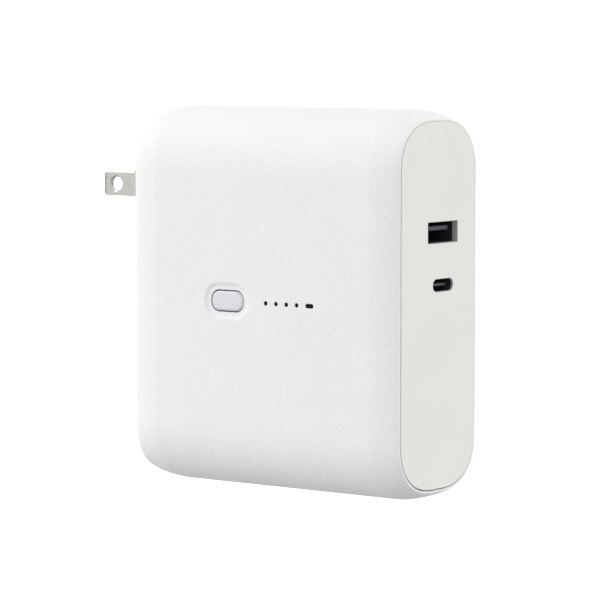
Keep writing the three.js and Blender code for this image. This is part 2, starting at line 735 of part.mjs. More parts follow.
function mainsLeadRear() {
  const start = at(pinX, bladeSides[1], pinZ);
  const down = [at(13.6, 5.6, 19.6), at(16, 5.6, 17)];
  return lead(start, ...down, at(16.8, 7, 15), at(16.9, 8.4, 14.6));
}

// The battery leads climb past the plug end of the cells and round behind the power board.
const tabX = CELL.x - 1.6;
const tabY = 8;

function batteryLeadPositive() {
  const climb = [at(5.4, 9.4, -12.4), at(5.4, 12, -8), at(6.6, 13.4, -2)];
  const across = [at(9.4, 13.5, 0.4), at(12.6, 14.2, 3), at(16, 13.2, 8)];
  return lead(at(tabX, tabY, CELL.highZ), ...climb, ...across, at(18, 12.4, 10), at(18.4, 11.2, 10.2));
}

function batteryLeadNegative() {
  const climb = [at(5.4, 8.4, -34), at(3.8, 8.6, -29), at(3.4, 8.6, -14), at(4, 9, -3)];
  const across = [at(9, 10.8, 0.6), at(14, 11.9, 2), at(17, 12.6, 4.6)];
  return lead(at(tabX, tabY, CELL.lowZ), ...climb, ...across, at(18.2, 12, 5.6), at(18.4, 11.2, 5.6));
}

// ---- assembly -----------------------------------------------------------------------------

function finish(color, roughness, metalness = 0) {
  return new THREE.MeshStandardMaterial({ color, roughness, metalness });
}

const finishes = {
  shell: () => finish(0xeaeae8, 0.62),
  panel: () => finish(0xe4e2de, 0.5),
  button: () => finish(0xdadae0, 0.35),
  smoked: () => finish(0x121214, 0.25),
  nickel: () => finish(0xc6c7be, 0.28, 1),
  steel: () => finish(0xb4b6ba, 0.3, 1),
  connector_plastic: () => finish(0x55555c, 0.5),
  black_plastic: () => finish(0x1d1d20, 0.5),
  circuit_board: () => finish(0x1d5c38, 0.45),
  cell: () => finish(0x3b7f8e, 0.4),
  copper: () => finish(0xb87a4a, 0.35, 1),
  ferrite: () => finish(0x2b2b2e, 0.7),
  aluminium: () => finish(0xb9bbbf, 0.35, 1),
  pale_sheet: () => finish(0xd8d2b8, 0.6),
  led: () => finish(0xf2eed8, 0.3),
  film_box: () => finish(0x2d4f8f, 0.5),
  red_wire: () => finish(0xb3261e, 0.5),
  black_wire: () => finish(0x1a1a1c, 0.5),
};

const adapter = new THREE.Group();
adapter.name = "adapter";

function addPart(name, geometry, look, place = at(0, 0, 0)) {
  const mesh = new THREE.Mesh(geometry, finishes[look]());
  mesh.name = name;
  mesh.material.name = look;
  mesh.position.copy(place);
  adapter.add(mesh);
}

addPart("main_sleeve", mainSleeve(), "shell");
addPart("port_end_panel", portEndPanel(), "panel");
addPart("plug_end_panel", plugEndPanel(), "panel");

addPart("plug_housing", plugHousing(), "panel");
addPart("plug_rotor", plugRotor(), "panel");
for (const [index, side] of ["front", "rear"].entries()) {
  const place = at(0, bladeSides[index], HINGE.z);
  addPart(`blade_${side}`, blade(), "nickel", place);
  addPart(`contact_spring_${side}`, contactSpring(), "copper", place);
}
addPart("detent_spring", detentSpring(), "steel");
for (const { name, y, z } of screwPlaces()) {
  addPart(name, screw(), "steel", at(HOUSING.back + GAP, y, z));
}

addPart("button_cap", buttonCap(), "button");
addPart("switch_plunger", switchPlunger(), "black_plastic");
addPart("switch_body", switchBody(), "steel");
addPart("light_guide", lightGuide(), "smoked");
addPart("indicator_board", indicatorBoard(), "circuit_board");
for (const [index, x] of lightPlaces().entries()) {
  addPart(`charge_led_${index + 1}`, ledChip(), "led", at(x, 0, 0));
}
addPart("status_led", ledChip(), "led", at(LIGHTS.statusX, 0, 0));

addPart("usb_a_shell", usbAShell(), "steel");
addPart("usb_a_insulator", usbAInsulator(), "connector_plastic");
addPart("usb_c_shell", usbCShell(), "steel");
addPart("usb_c_insulator", usbCInsulator(), "connector_plastic");
addPart("port_board", portBoard(), "circuit_board");

addPart("battery_cell_lower", batteryCell(), "cell", at(CELL.x, 0, CELL.lowZ));
addPart("battery_cell_upper", batteryCell(), "cell", at(CELL.x, 0, CELL.highZ));
addPart("cell_cradle", cellCradle(), "black_plastic");
addPart("nickel_tab_positive", nickelTab(CELL.highZ), "nickel");
addPart("nickel_tab_negative", nickelTab(CELL.lowZ), "nickel");
addPart("nickel_link", nickelLink(), "nickel");
addPart("insulation_sheet", insulationSheet(), "pale_sheet");

addPart("power_board", powerBoard(), "circuit_board");
addPart("transformer_core", transformerCore(), "ferrite");
addPart("transformer_winding", transformerWinding(), "copper");
for (const [level, z] of [["upper", BULK_CAPACITOR.highZ], ["lower", BULK_CAPACITOR.lowZ]]) {
  const place = at(BULK_CAPACITOR.x, BULK_CAPACITOR.y, z);
  addPart(`bulk_capacitor_${level}`, bulkCapacitor(), "black_plastic", place);
}
const chokeY = boardFace - CHOKE.fromBoard - CHOKE.thickness / 2;
addPart("mains_choke", chokeRing(), "copper", at(CHOKE.x, chokeY, CHOKE.z));
addPart("film_capacitor", boardBlock(FILM_CAPACITOR), "film_box");
addPart("bridge_rectifier", boardBlock(BRIDGE_RECTIFIER), "black_plastic");
addPart("mains_fuse", mainsFuse(), "pale_sheet");
addPart("output_inductor", outputInductor(), "ferrite");
addPart("output_capacitor", outputCapacitor(), "aluminium");
addPart("power_switch", boardBlock(POWER_SWITCH), "black_plastic");
addPart("heat_spreader", heatSpreader(), "aluminium");

addPart("mains_lead_front", mainsLeadFront(), "black_wire");
addPart("mains_lead_rear", mainsLeadRear(), "black_wire");
addPart("battery_lead_positive", batteryLeadPositive(), "red_wire");
addPart("battery_lead_negative", batteryLeadNegative(), "black_wire");

export default adapter;
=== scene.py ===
"""The looks of a plug-in USB charger with a built-in battery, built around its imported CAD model.

Lengths in this script are millimetres unless a name says otherwise, in the CAD model's own frame:
the origin is the centre of the plug end face, +X runs to the port end, -Y is the front, +Z is up.
Meshes are scaled to metres when they are made.
"""

import json
import math

import bpy
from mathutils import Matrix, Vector


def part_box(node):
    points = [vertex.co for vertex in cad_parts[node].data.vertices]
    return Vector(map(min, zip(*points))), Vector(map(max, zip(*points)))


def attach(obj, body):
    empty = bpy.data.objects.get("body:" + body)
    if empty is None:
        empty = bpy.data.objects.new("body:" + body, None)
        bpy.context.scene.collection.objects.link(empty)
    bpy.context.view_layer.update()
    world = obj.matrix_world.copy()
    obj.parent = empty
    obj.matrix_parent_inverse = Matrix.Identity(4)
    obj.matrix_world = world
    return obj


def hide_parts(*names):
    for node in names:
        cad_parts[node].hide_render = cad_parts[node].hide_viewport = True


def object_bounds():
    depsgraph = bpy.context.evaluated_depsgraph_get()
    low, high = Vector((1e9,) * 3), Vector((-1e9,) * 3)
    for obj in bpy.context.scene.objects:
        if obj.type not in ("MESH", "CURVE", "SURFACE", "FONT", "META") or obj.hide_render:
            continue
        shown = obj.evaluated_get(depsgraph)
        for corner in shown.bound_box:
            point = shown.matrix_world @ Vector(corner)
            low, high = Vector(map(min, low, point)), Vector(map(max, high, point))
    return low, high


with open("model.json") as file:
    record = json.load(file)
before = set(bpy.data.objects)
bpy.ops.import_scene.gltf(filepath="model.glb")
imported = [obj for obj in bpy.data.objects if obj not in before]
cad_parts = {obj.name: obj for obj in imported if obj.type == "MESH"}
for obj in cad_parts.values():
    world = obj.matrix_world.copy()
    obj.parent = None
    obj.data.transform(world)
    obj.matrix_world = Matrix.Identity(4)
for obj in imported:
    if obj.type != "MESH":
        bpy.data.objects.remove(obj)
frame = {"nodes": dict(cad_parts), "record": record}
cad_low, cad_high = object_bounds()

MM = 0.001

# ---- sizes that follow the CAD model ------------------------------------------------------------


def node_box(node):
    """The lowest and highest corner of a CAD node, in millimetres."""
    low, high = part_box(node)
    return Vector(low) / MM, Vector(high) / MM


sleeve_high = node_box("main_sleeve")[1]
LENGTH = sleeve_high.x
HALF_HEIGHT = sleeve_high.z
HALF_DEPTH = sleeve_high.y
FRONT = -HALF_DEPTH

# The casing's corners seen from the end, and how its rims curve in towards the two end faces.
CORNER_RADIUS_Y = 19.1
CORNER_RADIUS_Z = 18.1
CORNER_POWER = 2.33
CORNER_STEPS = 22
RIM_POWER = 1.45
RIM_SHRINK = 1.78
RIM_STEPS = 16
PLUG_RIM = {"length": 9.4, "inset_y": 2.9, "inset_z": 2.35}
PORT_RIM = {"length": 8.5, "inset_y": 2.0, "inset_z": 2.55}

# The casing's wall, the ledge behind each end panel, and where the full-width cavity starts.
WALL = 2.2
LEDGE = 1.8
CAVITY_MARGIN = 9.5

# The seam at each end: how far in from the rim the casing's lip stops and the panel starts, how
# round their edges are, and how far the lip is set back from the end face.
SEAM_OUTER = 0.4
SEAM_INNER = 0.55
LIP_RADIUS = 0.07
LIP_SETBACK = 0.04
PANEL_EDGE = 0.25

# The port panel sits a little back and up in its seat, and is a little narrow for it.
PORT_PANEL_SHIFT = (0.18, 0.11)
PORT_PANEL_NARROWED = 0.08

# The end panels stay clear of what is behind them.
PANEL_CLEARANCE = 0.3
PORT_PANEL = LENGTH - node_box("usb_a_shell")[1].x - PANEL_CLEARANCE
PLUG_PANEL = node_box("plug_housing")[0].x - PANEL_CLEARANCE

# The edges of openings, and how far their cutters run on past the wall they cut.
FINE_EDGE = 0.06
PLUG_OPENING_EDGE = 0.15
PANEL_OVERCUT = 1.0
SLEEVE_OVERCUT = 1.5

# The smallest corner radius, and the radius of a window's round end as a share of half its width.
SMALLEST_RADIUS = 0.05
ROUND_END = 0.999

# The button and the hollow round it. The key's face lies BUTTON_SET behind the casing's front.
BUTTON_SHIFT = -0.38
button_low, button_high = node_box("button_cap")
BUTTON_X = (button_low.x + button_high.x) / 2 + BUTTON_SHIFT
BUTTON_LENGTH, BUTTON_WIDTH, BUTTON_RADIUS = 10.3, 5.2, 2.35
BUTTON_DEPTH = 2.7
BUTTON_GAP = 0.34
BUTTON_EDGE = 0.7
BUTTON_SET = 0.22
BUTTON_FLANGE = {"from_wall": 0.4, "overhang": 1, "radius": 3.4, "depth": 0.8, "edge": 0.1}
BUTTON_POST = {"from_wall": 0.9, "radius": 1, "length": 1, "chamfer": 0.1}
DISH_MARGIN, DISH_WALL, DISH_DEPTH = 2.2, 0.85, 0.45

# The indicator: four round windows and one oblong one, on a bar behind the wall.
LIGHT_NODES = ["charge_led_1", "charge_led_2", "charge_led_3", "charge_led_4"]
LIGHT_RADIUS = 0.6
STATUS_LENGTH = 2.6
WINDOW_RECESS = 0.1
WINDOW_PLAY = 0.02
STATUS_PLAY = 0.08
WINDOW_EDGE = 0.2
LIGHT_BAR = {"from_wall": 0.3, "height": 3.2, "radius": 0.5, "depth": 1.4, "overlap": 0.5}


def middle(node):
    low, high = node_box(node)
    return (low + high) / 2


# The ports. USB_A_TONGUE's top and USB_C_CONTACT's above are measured from the opening's middle.
USB_A_SHIFT = -0.12
USB_A = middle("usb_a_shell") + Vector((0, USB_A_SHIFT, 0))
USB_C = middle("usb_c_shell")
USB_A_SIZE = (13.65, 5.6)
USB_C_SIZE = (9.3, 3.4)
USB_A_CORNER = 0.35
USB_C_CORNER = USB_C_SIZE[1] * 0.499
CASING_RADIUS = {"usb_a": 0.33, "usb_c": USB_C_SIZE[1] * 0.49}
CASING_WALL = 0.06
CASING_LIP = 0.04
CASING_RECESS = 0.1
CASING_PLAY = 0.06
# The throat: a near-black lining inside each port shell, painted shade for the dark deep in the port,
# starting this far in from the end face.
THROAT_DEPTH = {"usb_a": PORT_PANEL - 0.15, "usb_c": 0.6}
THROAT_WALL = 0.12
THROAT_LIP = 0.03
THROAT_LEAST_RADIUS = 0.06
THROAT_PLAY = 0.02
TONGUE_BLOCK = {"play": 0.3, "edge": 0.1, "behind_tongue": 1}
USB_A_TONGUE = {"width": 11.1, "height": 1.25, "top": 1.6, "radius": 0.12, "edge": 0.3}
USB_A_BLOCK = {"depth": 2.2, "radius": 0.2}
USB_A_CONTACT = {
    "width": 1.0, "height": 0.2, "length": 6.5, "radius": 0.06, "edge": 0.05, "edge_steps": 3,
    "from_tip": 0.8, "sunk": 0.04,
}
USB_A_CONTACT_OFFSETS = (-3.5, -1.0, 1.0, 3.5)
USB_C_TONGUE = {"width": 6.7, "height": 0.7, "radius": 0.1, "edge": 0.15}
USB_C_BLOCK = {"depth": 3.0, "round_less": 0.2}
USB_C_CONTACT = {
    "width": 0.32, "height": 0.1, "length": 3.6, "radius": 0.03, "edge": 0.02, "edge_steps": 2,
    "from_tip": 0.7, "above": 0.33,
}
USB_C_CONTACT_COUNT, USB_C_CONTACT_PITCH = 8, 0.72

# The folding plug. Its rotor turns about HINGE, which TANG's shoulder and end are measured from.
HINGE = middle("plug_rotor")
BLADE_REACH = -node_box("blade_front")[0].x
BLADE_HEIGHT = 6.35
BLADE_THICKNESS = 1.5
BLADE_Y = {"front": middle("blade_front").y, "rear": middle("blade_rear").y}
BLADE_TIP = {"corner": 0.7, "taper": 0.6, "half_thickness": 0.56, "steps": 8}
BLADE_SOFTNESS = 0.17
BLADE_HOLE = {"from_tip": 4.2, "radius": 2.0, "chamfer": 0.28}
TANG = {"shoulder": -3.5, "end": 3.0, "half_height": 1.8}
TANG_SLOT = {"height": 3.9, "play": 0.3, "radius": 0.2, "edge": 0.05}
ROTOR = {"radius": 3.2, "half_length": 9.0, "edge": 0.35, "journal": 1.6, "reach": 11.8, "chamfer": 0.2}
BAY = {"width": 18.5, "height": 7.2, "radius": 0.5}
BLADE_SLOT = {"width": 2.3, "radius": 0.4, "room": 0.45}
SCOOP = {"radius": 7, "half_width": 4.5, "edge": 0.4, "axis_x": -1.5, "above_slot_end": 4}

# ---- mesh building ------------------------------------------------------------------------------


def add_object(name, points, faces):
    """A mesh object from points in millimetres."""
    mesh = bpy.data.meshes.new(name)
    mesh.from_pydata([Vector(p) * MM for p in points], [], faces)
    mesh.validate()
    mesh.update()
    obj = bpy.data.objects.new(name, mesh)
    bpy.context.scene.collection.objects.link(obj)
    return obj


def face_outwards(obj):
    """Turns a closed mesh's faces outwards."""
    mesh = obj.data
    volume = 0.0
    mesh.calc_loop_triangles()
    for triangle in mesh.loop_triangles:
        a, b, c = (mesh.vertices[i].co for i in triangle.vertices)
        volume += a.dot(b.cross(c))
    if volume < 0:
        mesh.flip_normals()
    return obj


def loft(name, rings, ring_closed=False):
    """A closed mesh through rings of equal point counts: capped at both ends, or joined end to start."""
    count = len(rings[0])
    points = [point for ring in rings for point in ring]
    faces = []
    spans = len(rings) if ring_closed else len(rings) - 1
    for i in range(spans):
        here, there = i * count, ((i + 1) % len(rings)) * count
        for j in range(count):
            k = (j + 1) % count
            faces.append((here + j, here + k, there + k, there + j))
    if not ring_closed:
        faces.append(tuple(range(count))[::-1])
        faces.append(tuple((len(rings) - 1) * count + j for j in range(count)))
    return face_outwards(add_object(name, points, faces))


def baked(obj):
    """Replaces an object's mesh by what its modifiers make of it."""
    graph = bpy.context.evaluated_depsgraph_get()
    made = bpy.data.meshes.new_from_object(obj.evaluated_get(graph))
    obj.modifiers.clear()
    obj.data = made
    return obj


def carve(obj, cutters, operation="DIFFERENCE"):
    """Cuts the cutters away from an object, or joins them to it, and deletes the cutters."""
    for cutter in cutters:
        modifier = obj.modifiers.new("carve", "BOOLEAN")
        modifier.operation = operation
        modifier.solver = "EXACT"
        modifier.object = cutter
    baked(obj)
    for cutter in cutters:
        bpy.data.objects.remove(cutter)
    return obj


def smooth(obj, angle=32):
    """Smooth shading with creases at sharp edges, flat areas kept flat."""
    mesh = obj.data
    mesh.polygons.foreach_set("use_smooth", [True] * len(mesh.polygons))
    mesh.set_sharp_from_angle(angle=math.radians(angle))
    weighted = obj.modifiers.new("even_shading", "WEIGHTED_NORMAL")
    weighted.keep_sharp = True
    weighted.weight = 80
    return obj


def settle(obj, body, slot, replaced=(), material=None):
    """Gives a finished piece its material and its body, and hides the CAD nodes it replaces."""
    obj.data.materials.clear()
    obj.data.materials.append(material or looks[slot])
    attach(obj, body)
    if replaced:
        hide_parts(*replaced)
    return obj


# ---- outlines -----------------------------------------------------------------------------------


def spread(count):
    """Even steps from -1 to 1."""
    return [2 * i / count - 1 for i in range(count + 1)]


# The front face has finer steps around the button, in fractions of the straight side.
FINE_BAND = 0.26
FINE_COUNT, COARSE_COUNT, BACK_COUNT = 60, 6, 10
COARSE_STEPS = [(1 - FINE_BAND) * i / COARSE_COUNT for i in range(1, COARSE_COUNT + 1)]
FRONT_STEPS = (
    [-1 + step for step in COARSE_STEPS]
    + [FINE_BAND * step for step in spread(FINE_COUNT)[1:-1]]
    + [1 - step for step in reversed(COARSE_STEPS)]
)
BACK_STEPS = spread(BACK_COUNT)[1:-1]


def section(inset_y, inset_z, radius_y, radius_z):
    """The body's section across X as (y, z) points: flat sides joined by superellipse corners."""
    half_y, half_z = HALF_DEPTH - inset_y, HALF_HEIGHT - inset_z
    flat_z = half_z - radius_z
    points = []
    for quadrant, (sign_y, sign_z) in enumerate(((1, 1), (-1, 1), (-1, -1), (1, -1))):
        for step in range(CORNER_STEPS + 1):
            along = step if quadrant % 2 == 0 else CORNER_STEPS - step
            angle = along / CORNER_STEPS * math.pi / 2
            y = half_y - radius_y + radius_y * max(math.cos(angle), 0) ** (2 / CORNER_POWER)
            z = half_z - radius_z + radius_z * max(math.sin(angle), 0) ** (2 / CORNER_POWER)
            points.append((sign_y * y, sign_z * z))
        if quadrant == 1:
            points += [(-half_y, -s * flat_z) for s in FRONT_STEPS]
        if quadrant == 3:
            points += [(half_y, s * flat_z) for s in BACK_STEPS]
    return points


def rim_section(rim, inset, shrink=0.0):
    """The section pulled in by a rim: inset runs from 0 on the sides to 1 at the end face."""
    by_y, by_z = rim["inset_y"] * inset, rim["inset_z"] * inset
    return section(
        by_y + shrink,
        by_z + shrink,
        CORNER_RADIUS_Y - by_y * RIM_SHRINK - shrink,
        CORNER_RADIUS_Z - by_z * RIM_SHRINK - shrink,
    )


def rim_steps(rim):
    """(distance from the end face, inset) from the flat sides to the lip, just short of the end face."""
    steps = []
    for i in range(RIM_STEPS + 1):
        angle = i / RIM_STEPS * math.pi / 2
        from_end = rim["length"] * (1 - math.sin(angle) ** (2 / RIM_POWER))
        from_end = max(from_end, 0) * (1 - LIP_SETBACK / rim["length"]) + LIP_SETBACK
        inset = 1 - max(math.cos(angle), 0) ** (2 / RIM_POWER)
        steps.append((from_end, inset))
    return steps


def along_x(x, points):
    return [(x, y, z) for y, z in points]


def rounded_box_outline(width, height, radius, steps=10):
    """A rounded rectangle about (0, 0)."""
    points = []
    for turn, (sign_u, sign_v) in enumerate(((1, 1), (-1, 1), (-1, -1), (1, -1))):
        u, v = sign_u * (width / 2 - radius), sign_v * (height / 2 - radius)
        for i in range(steps + 1):
            angle = (turn + i / steps) * math.pi / 2
            points.append((u + radius * math.cos(angle), v + radius * math.sin(angle)))
    return points


def rounded_distance(u, v, width, height, radius):
    """How far (u, v) lies outside a rounded rectangle."""
    du = max(abs(u) - (width / 2 - radius), 0)
    dv = max(abs(v) - (height / 2 - radius), 0)
    return math.hypot(du, dv) - radius


def fillet(radius, steps=5):
    """(inset, depth) pairs from the side wall to the face round an edge of this radius."""
    pairs = []
    for i in range(steps + 1):
        angle = i / steps * math.pi / 2
        pairs.append((radius * (1 - math.cos(angle)), radius * (1 - math.sin(angle))))
    return pairs


def facing(direction, centre, u, v, depth):
    """The point u across and v up a face, and depth in from it. direction is the face's outward axis."""
    x, y, z = centre
    if direction == "+x":
        return (x - depth, y + u, z + v)
    if direction == "-x":
        return (x + depth, y - u, z + v)
    return (x + u, y + depth, z + v)


def opening_cutter(name, direction, centre, size, depth, edge=FINE_EDGE):
    """A cutter for a hole of this (width, height, radius) that leaves a rounded edge at its mouth."""
    width, height, radius = size
    before_face = 1.0
    levels = [(edge, -before_face), (edge, 0.0)] + mouth(edge) + [(0.0, depth)]
    rings = []
    for grow, inward in levels:
        outline = rounded_box_outline(width + 2 * grow, height + 2 * grow, radius + grow)
        rings.append([facing(direction, centre, u, v, inward) for u, v in outline])
    return loft(name, rings)


def mouth(edge, steps=5):
    """(growth, depth) of a hole's outline going in past a rounded edge."""
    pairs = []
    for i in range(1, steps + 1):
        angle = i / steps * math.pi / 2
        pairs.append((edge * (1 - math.sin(angle)), edge * (1 - math.cos(angle))))
    return pairs


def padded_solid(name, direction, centre, size, depth, edge, steps=6):
    """A plate or key of this (width, height, radius) with a rounded front edge, its face at centre."""
    width, height, radius = size
    levels = [(0.0, depth)] + fillet(edge, steps)
    rings = []
    for inset, inward in levels:
        corner = max(radius - inset, SMALLEST_RADIUS)
        outline = rounded_box_outline(width - 2 * inset, height - 2 * inset, corner)
        rings.append([facing(direction, centre, u, v, inward) for u, v in outline])
    return loft(name, rings)


def ring_profile(name, axis_point, profile, count=64):
    """A closed lathe about an axis along Y. profile holds (distance along Y, radius)."""
    rings = []
    for along, radius in profile:
        ring = []
        for i in range(count):
            angle = 2 * math.pi * i / count
            x = axis_point.x + radius * math.cos(angle)
            z = axis_point.z + radius * math.sin(angle)
            ring.append((x, axis_point.y + along, z))
        rings.append(ring)
    return loft(name, rings)


# ---- materials ----------------------------------------------------------------------------------


def set_range(node, from_low, from_high, to_low, to_high):
    """Sets the limits of a Map Range node."""
    node.inputs["From Min"].default_value = from_low
    node.inputs["From Max"].default_value = from_high
    node.inputs["To Min"].default_value = to_low
    node.inputs["To Max"].default_value = to_high


class Shader:
    """A node material that is built a step at a time."""

    def __init__(self, name, color, roughness, metallic=0.0, **sockets):
        self.material = bpy.data.materials.new(name)
        self.material.use_nodes = True
        self.tree = self.material.node_tree
        self.surface = self.tree.nodes["Principled BSDF"]
        self.color = (*color, 1.0)
        self.surface.inputs["Base Color"].default_value = self.color
        self.surface.inputs["Roughness"].default_value = roughness
        self.surface.inputs["Metallic"].default_value = metallic
        for socket, value in sockets.items():
            self.surface.inputs[socket.replace("_", " ")].default_value = value
        self.place = self.node("ShaderNodeTexCoord").outputs["Object"]

    def node(self, kind, **settings):
        node = self.tree.nodes.new(kind)
        for key, value in settings.items():
            if key in node.inputs:
                node.inputs[key].default_value = value
            else:
                setattr(node, key, value)
        return node

    def link(self, output, socket):
        self.tree.links.new(output, socket)

    def stretched(self, scale):
        mapping = self.node("ShaderNodeMapping")
        mapping.inputs["Scale"].default_value = scale
        self.link(self.place, mapping.inputs["Vector"])
        return mapping.outputs["Vector"]

    def noise(self, size_mm, detail=3.0, roughness=0.5, vector=None):
        """Smooth noise whose features are about size_mm across."""
        scale = 1 / (size_mm * MM)
        node = self.node("ShaderNodeTexNoise", Scale=scale, Detail=detail, Roughness=roughness)
        self.link(vector or self.place, node.inputs["Vector"])
        return node.outputs["Fac"]

    def pebbles(self, size_mm, smoothness, vector):
        """Rounded cells of about size_mm."""
        node = self.node("ShaderNodeTexVoronoi", feature="SMOOTH_F1")
        node.inputs["Scale"].default_value = 1 / (size_mm * MM)
        node.inputs["Smoothness"].default_value = smoothness
        self.link(vector, node.inputs["Vector"])
        return node.outputs["Distance"]

    def warped(self, size_mm, amount_mm):
        """Coordinates pushed about by noise."""
        noise = self.node("ShaderNodeTexNoise", Scale=1 / (size_mm * MM), Detail=2.0)
        self.link(self.place, noise.inputs["Vector"])
        push = self.node("ShaderNodeVectorMath", operation="MULTIPLY_ADD")
        push.inputs[1].default_value = (amount_mm * MM,) * 3
        self.link(noise.outputs["Color"], push.inputs[0])
        self.link(self.place, push.inputs[2])
        return push.outputs[0]

    def ranged(self, value, low, high, from_low=0.3, from_high=0.7):
        """A texture value stretched to run from low to high."""
        node = self.node("ShaderNodeMapRange")
        set_range(node, from_low, from_high, low, high)
        self.link(value, node.inputs["Value"])
        return node.outputs["Result"]

    def added(self, first, second, weight):
        """first plus weight times second."""
        node = self.node("ShaderNodeMath", operation="MULTIPLY_ADD")
        self.link(second, node.inputs[0])
        node.inputs[1].default_value = weight
        self.link(first, node.inputs[2])
        return node.outputs[0]

    def vary_color(self, value, other):
        """Blends the base colour to another one along a texture value."""
        mix = self.node("ShaderNodeMix", data_type="RGBA")
        colors = [s for s in mix.inputs if s.type == "RGBA"]
        colors[0].default_value = self.color
        colors[1].default_value = (*other, 1.0)
        self.link(self.ranged(value, 0.0, 1.0), mix.inputs[0])
        result = [s for s in mix.outputs if s.type == "RGBA"][0]
        self.link(result, self.surface.inputs["Base Color"])
        return self

    def vary_roughness(self, value, low, high):
        self.link(self.ranged(value, low, high), self.surface.inputs["Roughness"])
        return self

    def bump(self, value, height_mm, strength=1.0):
        node = self.node("ShaderNodeBump")
        node.inputs["Strength"].default_value = strength
        node.inputs["Distance"].default_value = height_mm * MM
        self.link(value, node.inputs["Height"])
        self.link(node.outputs["Normal"], self.surface.inputs["Normal"])
        return self


def shell_look():
    """Off-white moulded shell with a fine leather-like grain."""
    s = Shader("shell_grain", (0.876, 0.873, 0.874), 0.62, Specular_IOR_Level=0.35)
    place = s.warped(2.2, 0.5)
    grain = s.added(s.pebbles(1.15, 0.5, place), s.noise(0.35, 3.0, 0.6), 0.35)
    grain = s.added(grain, s.noise(3.5, 2.0), 0.5)
    s.bump(grain, 0.095, 1.0)
    s.vary_color(s.noise(14.0, 3.0), (0.861, 0.858, 0.858))
    return s.vary_roughness(s.noise(0.8, 4.0), 0.56, 0.68).material


def panel_look():
    """Smooth warm off-white plastic with a faint moulded bloom."""
    s = Shader("panel_satin", (0.83, 0.815, 0.79), 0.5, Specular_IOR_Level=0.4)
    s.bump(s.added(s.noise(0.22, 2.0), s.noise(6.0, 2.0), 0.8), 0.006, 0.5)
    s.vary_color(s.noise(18.0, 2.0), (0.815, 0.80, 0.772))
    return s.vary_roughness(s.noise(5.0, 4.0), 0.46, 0.54).material


def button_look():
    """Pale satin plastic with a bluish cast, under a thin gloss."""
    gloss = {"Specular_IOR_Level": 0.5, "Coat_Weight": 1.0, "Coat_Roughness": 0.1}
    s = Shader("button_satin", (0.74, 0.74, 0.78), 0.3, **gloss)
    s.bump(s.noise(0.2, 2.0), 0.003, 0.4)
    s.vary_color(s.noise(3.0, 2.0), (0.70, 0.70, 0.745))
    return s.vary_roughness(s.noise(1.2, 3.0), 0.27, 0.36).material


def dark_look(name, color, roughness, specular=0.4):
    """Dark moulded plastic or tinted window."""
    s = Shader(name, color, roughness, Specular_IOR_Level=specular)
    lighter = tuple(min(c * 1.35 + 0.004, 1.0) for c in color)
    s.bump(s.noise(0.15, 2.0), 0.003, 0.4)
    s.vary_color(s.noise(1.5, 3.0), lighter)
    return s.vary_roughness(s.noise(0.6, 3.0), roughness * 0.85, min(roughness * 1.2, 1.0)).material


def plated_look(name, color, roughness, brush=(1.0, 1.0, 1.0), grain=0.012, metallic=1.0):
    """Plated metal with fine brushing, small pits and a slightly uneven gloss."""
    s = Shader(name, color, roughness, metallic)
    lines = s.noise(0.35, 4.0, 0.65, s.stretched(brush))
    s.bump(s.added(lines, s.noise(2.5, 2.0), 0.5), grain, 0.5)
    darker = tuple(c * 0.88 for c in color)
    s.vary_color(s.noise(1.8, 4.0), darker)
    return s.vary_roughness(lines, roughness * 0.8, roughness * 1.35).material


def board_look():
    """Green solder mask with the weave of the glass cloth under it and pale dust."""
    s = Shader("board_mask", (0.012, 0.11, 0.045), 0.35, Coat_Weight=0.4, Coat_Roughness=0.15)
    weave = s.node("ShaderNodeTexWave", Scale=900.0, Distortion=1.5)
    s.link(s.place, weave.inputs["Vector"])
    s.bump(weave.outputs["Fac"], 0.01, 0.4)
    s.vary_color(s.noise(2.5, 4.0), (0.02, 0.16, 0.07))
    return s.vary_roughness(s.noise(1.0), 0.28, 0.45).material


def winding_look():
    """Enamelled wire laid side by side."""
    s = Shader("winding_enamel", (0.62, 0.27, 0.10), 0.32, 0.9)
    turns = s.node("ShaderNodeTexWave", Scale=420.0, Distortion=0.6, bands_direction="X")
    s.link(s.place, turns.inputs["Vector"])
    s.bump(turns.outputs["Fac"], 0.15, 0.8)
    s.vary_color(s.noise(1.2, 3.0), (0.5, 0.2, 0.07))
    return s.vary_roughness(s.noise(0.7), 0.25, 0.42).material


def plain_detail_look(name, color, roughness, size_mm, height_mm, metallic=0.0):
    """A base finish with mottled colour, uneven gloss and a surface texture of one size."""
    s = Shader(name, color, roughness, metallic)
    s.bump(s.noise(size_mm, 4.0, 0.6), height_mm, 0.6)
    s.vary_color(s.noise(size_mm * 6, 3.0), tuple(c * 0.86 for c in color))
    return s.vary_roughness(s.noise(size_mm * 3), roughness * 0.85, min(roughness * 1.15, 1.0)).material


